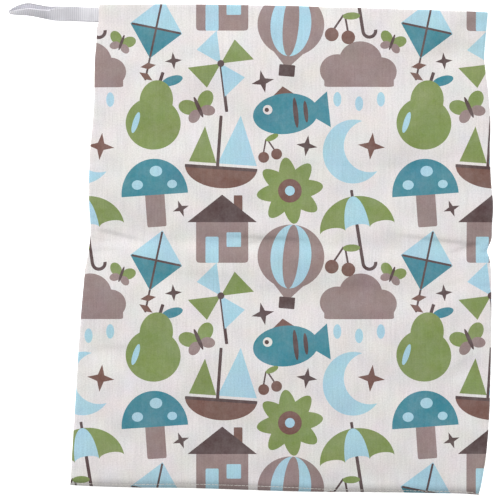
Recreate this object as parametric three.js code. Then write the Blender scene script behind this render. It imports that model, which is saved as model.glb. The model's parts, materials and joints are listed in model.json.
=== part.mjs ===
// Waterproof diaper bag lying on its back: a front and a back panel of laminated cloth, sewn together
// along both sides and the foot and open at the mouth, with a folded webbing loop caught in the left
// side seam beside the mouth.
// Millimetres. +Z is up off the surface that the bag lies on, +Y runs to the mouth, +X to the right.

import * as THREE from 'three';

// Cloth and seams
const WALL = 1.2; // laminated cloth
const CLEARANCE = 0.3; // gap between pieces that are sewn together
const EDGE_RADIUS = 2.9; // roll of the turned seams
const QUARTER_ROLL = (EDGE_RADIUS * Math.PI) / 2; // cloth in a quarter turn of that roll

// Fullness of the front panel
const FULLNESS = 7.2; // rise of its middle above its edges
const MOUTH_SHARE = 0.72; // share of that rise which is left at the mouth
const MOUTH_REACH = 110; // how far below the mouth the front starts to flatten

// Nominal cloth runs, from an edge to the middle of the bag and from the foot to the mouth
const HALF_WIDTH_RUN = 168;
const LENGTH_RUN = 400;

// Side edges at each height, from the foot up to the mouth. The packing crease pinches both at up 2.
const SIDE_EDGES = [
  { up: -202.5, left: -149.8, right: 190.2 },
  { up: -195, left: -149.4, right: 192.1 },
  { up: -166, left: -147.7, right: 196.7 },
  { up: -128, left: -145.3, right: 199.2 },
  { up: -66, left: -141.5, right: 200.4 },
  { up: -17, left: -137.2, right: 200.3 },
  { up: 2, left: -133.9, right: 197.7 },
  { up: 18, left: -132.5, right: 201 },
  { up: 38, left: -133.8, right: 202 },
  { up: 58, left: -133.9, right: 200.2 },
  { up: 83, left: -133.1, right: 199.3 },
  { up: 100, left: -131.4, right: 199.7 },
  { up: 120, left: -129.8, right: 199 },
  { up: 145, left: -129.3, right: 196.2 },
  { up: 159, left: -129, right: 194.6 },
  { up: 170, left: -128, right: 195.3 },
  { up: 203.4, left: -126.6, right: 198.3 },
];

// Mouth and foot edges from the left side, across 0, to the right side, across 1.
const END_EDGES = [
  { across: 0, mouth: 203.4, foot: -195.3 },
  { across: 0.06, mouth: 203.7, foot: -196.4 },
  { across: 0.15, mouth: 203.6, foot: -197.4 },
  { across: 0.3, mouth: 203.2, foot: -198 },
  { across: 0.5, mouth: 202.1, foot: -200.2 },
  { across: 0.6, mouth: 201.1, foot: -201 },
  { across: 0.7, mouth: 200.2, foot: -201.2 },
  { across: 0.94, mouth: 197.9, foot: -202.4 },
  { across: 1, mouth: 197.2, foot: -203.7 },
];

// Creases and dents of the front panel, by the share of its fullness that each takes away. turn is
// in degrees from +X. In order: the packing crease, the hollow below it, the pucker at its left end, the
// notch high on the right side, the slack patch below it, the dent low on the left side and the wrinkle
// low on the right.
const FOLDS = [
  { x: 30, y: 5, halfLength: 185, halfWidth: 9, turn: -2, pinch: 0.17 },
  { x: 20, y: -34, halfLength: 165, halfWidth: 14, turn: -3, pinch: 0.12 },
  { x: -118, y: 10, halfLength: 26, halfWidth: 16, turn: 24, pinch: 0.5 },
  { x: 180, y: 159, halfLength: 26, halfWidth: 11, turn: -22, pinch: 0.6 },
  { x: 160, y: 75, halfLength: 30, halfWidth: 13, turn: 12, pinch: 0.3 },
  { x: -130, y: -83, halfLength: 24, halfWidth: 14, turn: -50, pinch: 0.55 },
  { x: 180, y: -103, halfLength: 24, halfWidth: 8, turn: 18, pinch: 0.45 },
];

// Hang loop: flat webbing folded double, with both ends in the seam
const WEBBING_WIDTH = 12;
const WEBBING_THICKNESS = 1;
const LOOP_TAIL = 8; // length of each end inside the seam
const LOOP_CENTRE_UP = 195.3; // where the loop leaves the seam
const LOOP_STEPS = 18; // sections along each layer
const TURN_STEPS = 6; // sections round the fold at the tip

// The loop from the seam to its tip: distance out, sideways drift, how far its lowest edge is off the
// surface, roll about its length in degrees, and half the distance between its layers. The tip stands
// on edge.
const LOOP_STATIONS = [
  { out: -LOOP_TAIL, drift: 0, off: 1.75, roll: 0, part: 0.65 },
  { out: 3, drift: 0, off: 1.75, roll: 0, part: 0.65 },
  { out: 14, drift: 0.6, off: 0.5, roll: 0, part: 0.68 },
  { out: 23, drift: 1, off: 0.2, roll: 4, part: 0.75 },
  { out: 31, drift: 0.9, off: 0.2, roll: 22, part: 1.05 },
  { out: 39, drift: 1, off: 0.2, roll: 52, part: 1.9 },
  { out: 47.5, drift: 2.5, off: 0.2, roll: 62, part: 2.3 },
  { out: 57.5, drift: 4.1, off: 0.2, roll: 68, part: 2.55 },
  { out: 68, drift: 2.9, off: 0.2, roll: 80, part: 1.5 },
  { out: 72, drift: 1.9, off: 0.2, roll: 88, part: 0.65 },
];

// Cloth left out of each panel's roll: half the clearance along the foot and the sides, and more at the
// mouth's end of the left seam, which opens there to let the loop through
const FOOT_RIM = CLEARANCE / 2;
const SLOT_OPENING = 3.1;
const SLOT_FOOT_UP = 182;
const SLOT_FULL_UP = 188;

// Sections of each panel: across its rolled edges, from there to the middle, along its rolled foot, from
// there to the loop's slot, and beside the slot up to the mouth. band is the cloth run of the rolled ones.
const FRONT_GRID = { face: 1, band: 10, rolledColumns: 5, openColumns: 8, rolledRows: 6, openRows: 28 };
const BACK_GRID = {
  face: -1,
  band: QUARTER_ROLL,
  rolledColumns: 4,
  openColumns: 4,
  rolledRows: 4,
  openRows: 16,
};
const MOUTH_BAND = 23; // cloth run beside the slot
const MOUTH_ROWS = 3;
const CREASE_RUN = 205; // cloth run from the foot to the packing crease
const CREASE_DRAW = 0.5; // how strongly the rows crowd towards it
const COLUMN_DRAW = 1.5; // how strongly the columns crowd towards the sides

const { clamp, lerp, smoothstep, degToRad } = THREE.MathUtils;

// A column of a table as a smooth curve through its rows.
function along(table, key, column, at) {
  const last = table.length - 1;
  const slope = (row) => {
    const before = table[Math.max(row - 1, 0)];
    const after = table[Math.min(row + 1, last)];
    return (after[column] - before[column]) / (after[key] - before[key]);
  };
  let row = 0;
  while (row < last - 1 && at > table[row + 1][key]) row += 1;
  const [low, high] = [table[row], table[row + 1]];
  const span = high[key] - low[key];
  const t = clamp((at - low[key]) / span, 0, 1);
  const ease = t * t * (3 - 2 * t);
  const pull = t * (1 - t) * span * (slope(row) * (1 - t) - slope(row + 1) * t);
  return lerp(low[column], high[column], ease) + pull;
}

// Where cloth lies that runs over a rolled edge, by its run from the outermost line: above 0 towards
// the front, below 0 towards the back.
function overEdge(run) {
  const angle = clamp(run / EDGE_RADIUS, -Math.PI / 2, Math.PI / 2);
  return {
    angle,
    inset: EDGE_RADIUS * (1 - Math.cos(angle)),
    lift: EDGE_RADIUS * (1 + Math.sin(angle)),
    beyond: Math.max(0, Math.abs(run) - QUARTER_ROLL),
  };
}

// Rise of cloth from a sewn edge: steep beside it, level at the full reach.
function swell(distance, reach) {
  return 1 - (1 - clamp(distance / reach, 0, 1)) ** 3;
}

// Share of the fullness that the creases and dents leave at a place.
function leftByFolds(x, y) {
  let taken = 0;
  for (const fold of FOLDS) {
    const turn = degToRad(fold.turn);
    const [dx, dy] = [x - fold.x, y - fold.y];
    const lengthwise = (dx * Math.cos(turn) + dy * Math.sin(turn)) / fold.halfLength;
    const crosswise = (dy * Math.cos(turn) - dx * Math.sin(turn)) / fold.halfWidth;
    taken += fold.pinch * Math.exp(-(lengthwise ** 4) - crosswise ** 2);
  }
  return Math.max(0, 1 - taken);
}

// Cloth left out of a panel's roll at a height on its side.
function sideRim(side, up) {
  const slot = side < 0 ? smoothstep(up, SLOT_FOOT_UP, SLOT_FULL_UP) * SLOT_OPENING : 0;
  return Math.max(CLEARANCE / 2, slot);
}

// A panel's outer surface and the direction out of it. side is -1 on the left half and 1 on the right,
// share runs from the seam, 0, to the middle or the mouth, 1, in its rolled or its open part.
function panelPoint(grid, column, row) {
  const { face, band } = grid;
  const nominal = column.rolled ? column.share * band : lerp(band, HALF_WIDTH_RUN, column.share);
  const fromLeft = column.side < 0 ? nominal : 2 * HALF_WIDTH_RUN - nominal;
  const across = clamp(fromLeft / (2 * HALF_WIDTH_RUN), 0, 1);
  const foot = along(END_EDGES, 'across', 'foot', across);
  const mouth = along(END_EDGES, 'across', 'mouth', across);
  const lengthRun = row.rolled ? lerp(FOOT_RIM, band, row.share) : lerp(band, LENGTH_RUN, row.share);
  const footRoll = overEdge(face * lengthRun);
  const lengthStretch = (mouth - foot - EDGE_RADIUS) / (LENGTH_RUN - QUARTER_ROLL);
  const y = foot + footRoll.inset + footRoll.beyond * lengthStretch;

  const rim = sideRim(column.side, y);
  const widthRun = column.rolled ? lerp(rim, band, column.share) : nominal;
  const sideRoll = overEdge(face * widthRun);
  const left = along(SIDE_EDGES, 'up', 'left', y);
  const right = along(SIDE_EDGES, 'up', 'right', y);
  const widthStretch = ((right - left) / 2 - EDGE_RADIUS) / (HALF_WIDTH_RUN - QUARTER_ROLL);
  const fromSide = sideRoll.inset + sideRoll.beyond * widthStretch;
  const x = column.side < 0 ? left + fromSide : right - fromSide;

  // Both rolls share a corner, where neither lifts the cloth past the seam.
  const level = face > 0 ? 2 * EDGE_RADIUS : 0;
  const sideLift = Math.abs(sideRoll.lift - level);
  const footLift = Math.abs(footRoll.lift - level);
  const lift = sideLift + footLift - (sideLift * footLift) / EDGE_RADIUS;
  const sewn = swell(widthRun - rim, HALF_WIDTH_RUN) * swell(lengthRun - FOOT_RIM, LENGTH_RUN / 2);
  const mouthLoss = (1 - MOUTH_SHARE) * (1 - swell(mouth - y, MOUTH_REACH));
  const rise = face > 0 ? FULLNESS * sewn * (1 - mouthLoss) * leftByFolds(x, y) : 0;
  const upward = Math.abs(Math.sin(sideRoll.angle)) * Math.sin(footRoll.angle);
  return {
    outer: new THREE.Vector3(x, y, level - face * lift + rise),
    outward: new THREE.Vector3(
      column.side * Math.cos(sideRoll.angle),
      -Math.cos(footRoll.angle),
      upward,
    ).normalize(),
  };
}

// The columns of a panel from its left seam to its right one.
function panelColumns(grid) {
  const half = [];
  for (let step = 0; step < grid.rolledColumns; step += 1) {
    half.push({ rolled: true, share: step / grid.rolledColumns });
  }
  for (let step = 0; step <= grid.openColumns; step += 1) {
    half.push({ rolled: false, share: (step / grid.openColumns) ** COLUMN_DRAW });
  }
  const leftHalf = half.map((column) => ({ ...column, side: -1 }));
  const rightHalf = half.slice(0, -1).map((column) => ({ ...column, side: 1 }));
  return [...leftHalf, ...rightHalf.reverse()];
}

// The rows of a panel from its foot seam to the mouth, closest together at the packing crease.
function panelRows(grid) {
  const rows = [];
  for (let step = 0; step < grid.rolledRows; step += 1) {
    rows.push({ rolled: true, share: step / grid.rolledRows });
  }
  const openRun = LENGTH_RUN - grid.band;
  const slotShare = 1 - MOUTH_BAND / openRun;
  const wave = (even) => Math.sin(2 * Math.PI * (even - (CREASE_RUN - grid.band) / openRun)) / (2 * Math.PI);
  for (let step = 0; step < grid.openRows; step += 1) {
    const even = step / grid.openRows;
    rows.push({ rolled: false, share: slotShare * (even - CREASE_DRAW * (wave(even) - wave(0))) });
  }
  for (let step = 0; step <= MOUTH_ROWS; step += 1) {
    rows.push({ rolled: false, share: lerp(slotShare, 1, step / MOUTH_ROWS) });
  }
  return rows;
}

// A closed wall of cloth: the outer surface, the same surface a wall's thickness inside it, and rims.
function panelGeometry(grid) {
  const columns = panelColumns(grid);
  const rows = panelRows(grid);
  const points = rows.flatMap((row) => columns.map((column) => panelPoint(grid, column, row)));
  const outer = points.map((point) => point.outer);
  const inner = points.map((point) => point.outer.clone().addScaledVector(point.outward, -WALL));
  const wide = columns.length;
  const high = rows.length;
  const quads = [];
  for (let row = 0; row < high - 1; row += 1) {
    for (let column = 0; column < wide - 1; column += 1) {
      const at = row * wide + column;
      const quad = [at, at + 1, at + wide + 1, at + wide];
      quads.push(quad);
      quads.push(quad.map((corner) => corner + points.length).reverse());
    }
  }
  const rim = (from, to) => quads.push([to, from, from + points.length, to + points.length]);
  const top = (high - 1) * wide;
  for (let column = 0; column < wide - 1; column += 1) {
    rim(column, column + 1);
    rim(top + column + 1, top + column);
  }
  for (let row = 0; row < high - 1; row += 1) {
    rim((row + 1) * wide, row * wide);
    rim(row * wide + wide - 1, (row + 1) * wide + wide - 1);
  }
  if (grid.face < 0) quads.forEach((quad) => quad.reverse());
  return geometryFromQuads([...outer, ...inner], quads);
}

// Triangles of a closed body from its corners and its four-sided faces.
function geometryFromQuads(corners, quads) {
  const geometry = new THREE.BufferGeometry().setFromPoints(corners);
  geometry.setIndex(quads.flatMap(([a, b, c, d]) => [a, b, c, a, c, d]));
  geometry.computeVertexNormals();
  return geometry;
}

// One section of the loop at a distance out from the seam. turn goes from the layer below, -90 degrees,
// round the fold to the layer above, 90 degrees.
function loopSection(seamX, out, turn) {
  const station = (column) => along(LOOP_STATIONS, 'out', column, out);
  const roll = degToRad(station('roll'));
  const widthwise = new THREE.Vector3(0, Math.cos(roll), Math.sin(roll));
  const layerwise = new THREE.Vector3(0, -Math.sin(roll), Math.cos(roll));
  const angle = degToRad(turn);
  const outward = layerwise.clone().multiplyScalar(Math.sin(angle));
  outward.x = -Math.cos(angle);
  const layerReach = station('part') + WEBBING_THICKNESS / 2;
  const height = station('off') + widthwise.z * (WEBBING_WIDTH / 2) + layerwise.z * layerReach;
  const middle = new THREE.Vector3(seamX - out, LOOP_CENTRE_UP + station('drift'), height);
  middle.addScaledVector(outward, station('part'));
  const corner = (acrossSign, outSign) =>
    middle
      .clone()
      .addScaledVector(widthwise, (acrossSign * WEBBING_WIDTH) / 2)
      .addScaledVector(outward, (outSign * WEBBING_THICKNESS) / 2);
  return [corner(1, -1), corner(1, 1), corner(-1, 1), corner(-1, -1)];
}

// The folded webbing as one strip: along the layer below, round the tip and back along the layer above.
function loopGeometry() {
  const seamX = along(SIDE_EDGES, 'up', 'left', LOOP_CENTRE_UP);
  const tipOut = LOOP_STATIONS[LOOP_STATIONS.length - 1].out;
  const below = [];
  const above = [];
  for (let step = 0; step <= LOOP_STEPS; step += 1) {
    const out = lerp(-LOOP_TAIL, tipOut, step / LOOP_STEPS);
    below.push(loopSection(seamX, out, -90));
    above.unshift(loopSection(seamX, out, 90));
  }
  const fold = [];
  for (let step = 1; step < TURN_STEPS; step += 1) {
    fold.push(loopSection(seamX, tipOut, lerp(-90, 90, step / TURN_STEPS)));
  }
  const sections = [...below, ...fold, ...above];
  const quads = [];
  for (let step = 0; step < sections.length - 1; step += 1) {
    for (let side = 0; side < 4; side += 1) {
      const here = step * 4 + side;
      const next = step * 4 + ((side + 1) % 4);
      quads.push([here, next, next + 4, here + 4]);
    }
  }
  const end = (sections.length - 1) * 4;
  quads.push([0, 3, 2, 1]);
  quads.push([end, end + 1, end + 2, end + 3]);
  return geometryFromQuads(sections.flat(), quads);
}

function piece(name, geometry, finish) {
  const mesh = new THREE.Mesh(geometry, new THREE.MeshStandardMaterial({ metalness: 0, ...finish }));
  mesh.name = name;
  return mesh;
}

const bag = new THREE.Group();
bag.add(piece('front_panel', panelGeometry(FRONT_GRID), { color: 0xe5dfdf, roughness: 0.75 }));
bag.add(piece('back_panel', panelGeometry(BACK_GRID), { color: 0xdfdad8, roughness: 0.75 }));
bag.add(piece('hang_loop', loopGeometry(), { color: 0xcccbd0, roughness: 0.8 }));

// The origin is the middle of the bag's footprint.
const extent = new THREE.Box3().setFromObject(bag);
const middle = extent.getCenter(new THREE.Vector3());
bag.position.set(-middle.x, -middle.y, -extent.min.z);

export default bag;
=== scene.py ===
"""Looks of an empty waterproof diaper bag that lies on its back.

Two panels of printed, laminated polyester are sewn together along both sides and the foot, turned right side
out and topstitched along the foot. A folded strip of grey ribbon is caught in the left seam beside the mouth.
Tables are in millimetres, in the bag's own frame: +X to the right, +Y towards the mouth, +Z up off the floor.
Meshes are in metres.
"""

import json
import logging
import math
from collections.abc import Callable, Sequence
from dataclasses import dataclass, field
from enum import Enum
from functools import partial

import bpy
import numpy as np
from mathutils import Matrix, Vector

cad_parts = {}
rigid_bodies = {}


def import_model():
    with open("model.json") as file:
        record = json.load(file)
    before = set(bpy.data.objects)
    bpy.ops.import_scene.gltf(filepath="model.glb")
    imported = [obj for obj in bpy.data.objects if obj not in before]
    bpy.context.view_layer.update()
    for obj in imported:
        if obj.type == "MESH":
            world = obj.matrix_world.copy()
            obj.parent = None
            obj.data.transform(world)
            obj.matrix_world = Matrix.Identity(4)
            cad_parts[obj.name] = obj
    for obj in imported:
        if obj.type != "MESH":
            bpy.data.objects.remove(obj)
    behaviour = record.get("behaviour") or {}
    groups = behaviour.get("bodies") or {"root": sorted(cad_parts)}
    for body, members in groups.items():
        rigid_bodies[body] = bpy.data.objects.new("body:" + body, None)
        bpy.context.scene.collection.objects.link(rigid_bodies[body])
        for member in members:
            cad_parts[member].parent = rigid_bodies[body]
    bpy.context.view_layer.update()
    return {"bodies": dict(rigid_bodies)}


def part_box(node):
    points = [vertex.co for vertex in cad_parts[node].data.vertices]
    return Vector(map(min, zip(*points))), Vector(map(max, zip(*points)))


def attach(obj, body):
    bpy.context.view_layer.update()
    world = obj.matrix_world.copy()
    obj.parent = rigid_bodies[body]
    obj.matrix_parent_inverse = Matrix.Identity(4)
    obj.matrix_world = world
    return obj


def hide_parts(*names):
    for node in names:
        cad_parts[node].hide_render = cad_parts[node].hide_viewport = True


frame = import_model()

MM = 0.001  # metres in a millimetre
BODY = next(iter(frame["bodies"]))  # nothing on the bag moves, so there is one body
CLOTH_MAP = "cloth"  # UV map: a point's place on the flat cloth, in metres
FOOT_RUN = "from_foot"  # attribute: cloth run from the foot seam, in metres
ROLL_POINTS = 91  # points at which the cloth in a rolled edge is measured
SIDE_POINTS = 400  # points at which the bag's sides are measured
NodeMaker = Callable[..., bpy.types.Node]  # add_node for one tree
log = logging.getLogger("diaper_bag")


@dataclass(frozen=True)
class SideEdge:
    """Both side edges of the bag at a height."""

    up: float
    left: float
    right: float


@dataclass(frozen=True)
class EndEdge:
    """The mouth and foot edges, and how far in from the foot the topstitching is, from side to side."""

    across: float
    mouth: float
    foot: float
    topstitch: float


@dataclass(frozen=True)
class Fold:
    """A crease, dent or ridge: its middle, half its length and width, its turn from +X and its strength."""

    x: float
    y: float
    half_length: float
    half_width: float
    turn: float
    size: float


@dataclass(frozen=True)
class Ripple:
    """A broad wave of slack cloth: its length, the way it runs from +X, its phase and its height."""

    length: float
    turn: float
    phase: float
    height: float


@dataclass(frozen=True)
class LoopStation:
    """The loop at a distance out from the seam.

    drift is sideways, off is its lowest edge's height off the floor, roll is about its length in degrees, and
    part is half the distance between its layers.
    """

    out: float
    drift: float
    off: float
    roll: float
    part: float


# From the foot up. The packing crease pinches both sides near up 0, the right one to a sharp notch.
SIDE_EDGES = (
    SideEdge(-202.5, -149.8, 190.2),
    SideEdge(-195, -149.4, 192.1),
    SideEdge(-166, -147.7, 196.7),
    SideEdge(-128, -145.3, 199.2),
    SideEdge(-66, -141.5, 200.4),
    SideEdge(-17, -137.2, 200.3),
    SideEdge(-7, -135.5, 198.9),
    SideEdge(-0.5, -134.3, 197),
    SideEdge(9, -133, 200.6),
    SideEdge(18, -132.5, 201),
    SideEdge(38, -133.8, 202),
    SideEdge(58, -133.9, 200.2),
    SideEdge(83, -133.1, 199.3),
    SideEdge(100, -131.4, 199.7),
    SideEdge(120, -129.8, 199),
    SideEdge(145, -129.3, 196.2),
    SideEdge(159, -129, 194.6),
    SideEdge(170, -128, 195.3),
    SideEdge(203.4, -126.6, 198.3),
)

# From the left side, across 0, to the right side, across 1.
END_EDGES = (
    EndEdge(0, 203.4, -195.3, 2.2),
    EndEdge(0.06, 203.7, -196.4, 2.4),
    EndEdge(0.15, 203.6, -197.4, 2.9),
    EndEdge(0.3, 203.2, -198, 3.7),
    EndEdge(0.5, 202.1, -200.2, 3.8),
    EndEdge(0.6, 201.1, -201, 2.9),
    EndEdge(0.7, 200.2, -201.2, 2.1),
    EndEdge(0.94, 197.9, -202.4, 1.8),
    EndEdge(1, 197.2, -203.7, 1.9),
)

# Share of the front's fullness that each takes away. In order: the packing crease, the hollow below it, the
# pucker at its left end, the notch high on the right side, the slack patch below it, the dent low on the left
# side and the wrinkle low on the right.
FOLDS = (
    Fold(30, 5, 185, 9, -2, 0.17),
    Fold(20, -34, 165, 14, -3, 0.12),
    Fold(-118, 10, 26, 16, 24, 0.5),
    Fold(180, 159, 26, 11, -22, 0.6),
    Fold(160, 75, 30, 13, 12, 0.3),
    Fold(-130, -83, 24, 14, -50, 0.55),
    Fold(180, -103, 24, 8, 18, 0.45),
)

# Finer lines of those folds on the front, by their height: along the packing crease, along the hollow below
# it, and then down the left side, down the right side and over the middle. The cloth rises more slowly on a
# line's foot side, LEE times as wide as the other.
LEE = 3.0
WRINKLES = (
    Fold(-112, 12, 22, 2.2, -14, -1.1),
    Fold(-45, 7, 30, 2.4, -3, -0.2),
    Fold(12, 8.5, 32, 2.4, -3, -1.15),
    Fold(72, 3, 22, 2.2, -2, -0.2),
    Fold(157, 6.5, 33, 2.4, -7, -1.25),
    Fold(-2, 4, 15, 2, 15, -0.7),
    Fold(178, 1, 14, 2, 20, -0.8),
    Fold(-103, -18, 18, 3, -8, -0.5),
    Fold(-45, -23, 40, 5, -3, -0.5),
    Fold(30, -33, 20, 5, 4, -0.65),
    Fold(95, -32, 24, 5, -4, -0.75),
    Fold(165, -30, 16, 3, 20, -0.4),
    Fold(-128, 30, 9, 1.9, 3, -0.35),
    Fold(-128, 21.5, 8, 1.9, -4, -0.4),
    Fold(-123, 7, 9, 1.8, 2, -0.35),
    Fold(-122, 0, 10, 1.8, -5, -0.4),
    Fold(-130, -59, 13, 2.4, 34, -0.5),
    Fold(-134, -87, 7, 2.2, 36, -0.5),
    Fold(-115, -83, 20, 3, 3, -0.75),
    Fold(186, 187, 14, 3, 8, -0.75),
    Fold(184, 167, 14, 3, -34, -0.5),
    Fold(186, 151, 12, 2.8, 14, -0.4),
    Fold(170, 78, 22, 3.4, 16, -0.35),
    Fold(161, -38, 9, 2.2, 22, -0.35),
    Fold(176, -95, 11, 2.4, 34, -0.5),
    Fold(178, -106, 13, 2.6, 20, 0.35),
    Fold(141, 162, 24, 2.8, -3, -0.4),
    Fold(-45, 160, 14, 3, 2, -0.4),
    Fold(46, 70, 140, 2.8, -1, -0.26),
    Fold(38, -118, 38, 2.4, 88, -0.35),
    Fold(104, -164, 9, 2.2, 56, -0.35),
)

# Slack of the front cloth.
RIPPLES = (
    Ripple(118, 62, 20, 0.55),
    Ripple(84, 101, 140, 0.44),
    Ripple(63, 48, 260, 0.33),
    Ripple(47, 128, 75, 0.26),
    Ripple(35, 73, 310, 0.14),
    Ripple(39, 33, 120, 0.24),
    Ripple(28, 144, 10, 0.16),
    Ripple(24, 52, 190, 0.11),
)

# From the ends in the seam out to the tip.
LOOP_STATIONS = (
    LoopStation(-8, 0, 1.75, 0, 0.65),
    LoopStation(3, 0, 1.75, 0, 0.65),
    LoopStation(14, 0.6, 0.5, 0, 0.68),
    LoopStation(23, 1, 0.2, 4, 0.75),
    LoopStation(31, 0.9, 0.2, 22, 1.05),
    LoopStation(39, 1, 0.2, 52, 1.9),
    LoopStation(47.5, 2.5, 0.2, 62, 2.3),
    LoopStation(57.5, 4.1, 0.2, 68, 2.55),
    LoopStation(68, 2.9, 0.2, 80, 1.5),
    LoopStation(72, 1.9, 0.2, 88, 0.65),
)


class Face(Enum):
    """A panel's side of the bag, as the way that it faces."""

    FRONT = 1
    BACK = -1


class Ink(Enum):
    """Colours of the print, and of the cloth that it is printed on."""

    GROUND = "#dbd7d6"
    GREEN = "#788a4b"
    SKY = "#a1c8d7"
    TEAL = "#357f8f"
    TAUPE = "#8d7977"
    BARK = "#4e3939"
    RUST = "#6f4d44"


class Shape(Enum):
    """Outlines that the print is stamped from. A dome and a wedge are half an oval and half a diamond."""

    OVAL = "oval"
    DOME = "dome"
    DIAMOND = "diamond"
    WEDGE = "wedge"
    BLOCK = "block"

    @property
    def halved(self) -> bool:
        """Whether the shape stops at its middle line."""
        return self in (Shape.DOME, Shape.WEDGE)


# Short names for the rows of the print
OVAL, DOME, DIAMOND, WEDGE, BLOCK = Shape
GROUND, GREEN, SKY, TEAL, TAUPE, BARK, RUST = Ink


@dataclass(frozen=True)
class Stamp:
    """One flat patch of ink. x and y are its middle, or the middle of a halved shape's straight side."""

    shape: Shape
    ink: Ink
    x: float
    y: float
    wide: float
    high: float
    turn: float = 0.0


class Motif(Enum):
    """Pictures of the nursery print, each as its patches of ink from the lowest up."""

    BALLOON = (
        Stamp(WEDGE, TAUPE, 0, -3, 36, 20, 180),
        Stamp(OVAL, TAUPE, 0, 8, 46, 44),
        Stamp(OVAL, SKY, 0, 8, 28, 44),
        Stamp(OVAL, TAUPE, 0, 8, 11, 44),
        Stamp(BLOCK, BARK, 0, -24, 11, 8),
    )
    KITE = (
        Stamp(BLOCK, BARK, 0, -24, 1.5, 20),
        Stamp(DIAMOND, SKY, 0, 6, 40, 46),
        Stamp(WEDGE, TEAL, 0, 6, 40, 23, 180),
        Stamp(BLOCK, BARK, 0, 6, 1.6, 44),
        Stamp(BLOCK, BARK, 0, 6, 38, 1.6),
        Stamp(DIAMOND, RUST, 0, -23, 12, 5, 20),
        Stamp(DIAMOND, RUST, 0, -31, 12, 5, -20),
    )
    CLOUD = (
        Stamp(OVAL, TAUPE, -14, 3, 24, 22),
        Stamp(OVAL, TAUPE, 2, 9, 30, 28),
        Stamp(OVAL, TAUPE, 16, 2, 22, 20),
        Stamp(BLOCK, TAUPE, 1, -3, 48, 11),
        *(Stamp(OVAL, SKY, x, y, 5.5, 10) for x, y in ((-14, -17), (1, -20), (16, -17))),
    )
    UMBRELLA = (
        Stamp(OVAL, BARK, 4.4, -24, 11, 11),
        Stamp(OVAL, GROUND, 4.4, -24, 6.4, 6.4),
        Stamp(BLOCK, GROUND, 6.5, -20.5, 13, 7),
        Stamp(BLOCK, BARK, 0, 24, 2, 7),
        Stamp(DOME, GREEN, 0, 0, 52, 23),
        Stamp(DOME, SKY, 0, 0, 17, 23),
        *(Stamp(OVAL, GROUND, x, 0, 17.4, 7) for x in (-17.4, 0, 17.4)),
        Stamp(BLOCK, BARK, 0, -10.5, 2.3, 28),
    )
    FISH = (
        Stamp(WEDGE, RUST, -3, 11, 20, 8),
        Stamp(WEDGE, TEAL, 27, 0, 25, 17, 90),
        Stamp(OVAL, TEAL, -3, 0, 45, 28),
        Stamp(OVAL, BARK, 4, 0, 3.4, 21),
        Stamp(OVAL, BARK, 11, 0, 3, 15),
        Stamp(OVAL, GROUND, -15, 4, 6.5, 6.5),
        Stamp(OVAL, BARK, -15.6, 4, 3, 3),
    )
    PEAR = (
        Stamp(BLOCK, BARK, 1, 24, 2.3, 10, -10),
        Stamp(OVAL, TEAL, 9, 24, 15, 6.5, 25),
        Stamp(OVAL, GREEN, 0, -7, 38, 36),
        Stamp(OVAL, GREEN, 0, 9, 23, 28),
        Stamp(OVAL, SKY, -12, -8, 4, 15, -10),
    )
    BOAT = (
        Stamp(WEDGE, SKY, 11, -8, 27, 34),
        Stamp(WEDGE, GREEN, -13, -8, 19, 25),
        Stamp(BLOCK, BARK, -2.5, 6, 2.2, 38),
        Stamp(DOME, RUST, 0, -10, 50, 15, 180),
        Stamp(BLOCK, BARK, 0, -11, 50, 2.2),
    )
    TOADSTOOL = (
        Stamp(BLOCK, TAUPE, 0, -13, 14, 26),
        Stamp(DOME, TEAL, 0, -3, 48, 26),
        *(
            Stamp(OVAL, SKY, x, y, size, 0.85 * size)
            for x, y, size in ((-12, 5, 8), (2, 14, 9), (13, 4, 7))
        ),
    )
    FLOWER = (
        *(Stamp(OVAL, GREEN, 0, 0, 48, 15, turn) for turn in (0, 45, 90, 135)),
        Stamp(OVAL, RUST, 0, 0, 17, 17),
        Stamp(OVAL, SKY, 0, 0, 7, 7),
    )
    MOON = (
        Stamp(OVAL, SKY, -3, 0, 42, 44),
        Stamp(OVAL, GROUND, 8, 5, 36, 36),
        Stamp(DIAMOND, RUST, 9, 5, 6, 19),
        Stamp(DIAMOND, RUST, 9, 5, 19, 6),
    )
    PINWHEEL = (
        Stamp(BLOCK, BARK, 0, -10, 2.3, 34),
        Stamp(WEDGE, GREEN, 12, 8, 24, 16),
        Stamp(WEDGE, SKY, 0, 20, 24, 16, 90),
        Stamp(WEDGE, GREEN, -12, 8, 24, 16, 180),
        Stamp(WEDGE, SKY, 0, -4, 24, 16, 270),
        Stamp(OVAL, BARK, 0, 8, 5, 5),
    )
    HOUSE = (
        Stamp(BLOCK, RUST, 11, 16, 6, 15),
        Stamp(BLOCK, TAUPE, 0, -8, 36, 30),
        Stamp(WEDGE, BARK, 0, 5, 48, 19),
        Stamp(BLOCK, SKY, -7, -14, 9, 18),
        Stamp(BLOCK, SKY, 8, -7, 10, 10),
    )
    BUTTERFLY = (
        *(Stamp(OVAL, GREEN, side * 7, 3, 15, 11, side * 38) for side in (-1, 1)),
        *(Stamp(OVAL, TAUPE, side * 5.5, -5, 11, 8, side * -32) for side in (-1, 1)),
        Stamp(OVAL, BARK, 0, 0, 3, 17),
    )
    CHERRIES = (
        Stamp(BLOCK, BARK, -3.5, 2, 1.4, 15, -24),
        Stamp(BLOCK, BARK, 3, 2, 1.4, 15, 20),
        Stamp(OVAL, GREEN, 5, 9, 12, 5, 12),
        *(Stamp(OVAL, RUST, x, -6, 9.5, 9.5) for x in (-6.2, 5.4)),
    )
    STAR = (
        Stamp(DIAMOND, BARK, 0, 0, 5, 16),
        Stamp(DIAMOND, BARK, 0, 0, 16, 5),
    )


@dataclass(frozen=True)
class Place:
    """Where a motif is in the repeat, in columns and rows, its turn in degrees and its size."""

    motif: Motif
    column: float
    row: float
    turn: float = 0.0
    size: float = 1.2


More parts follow.
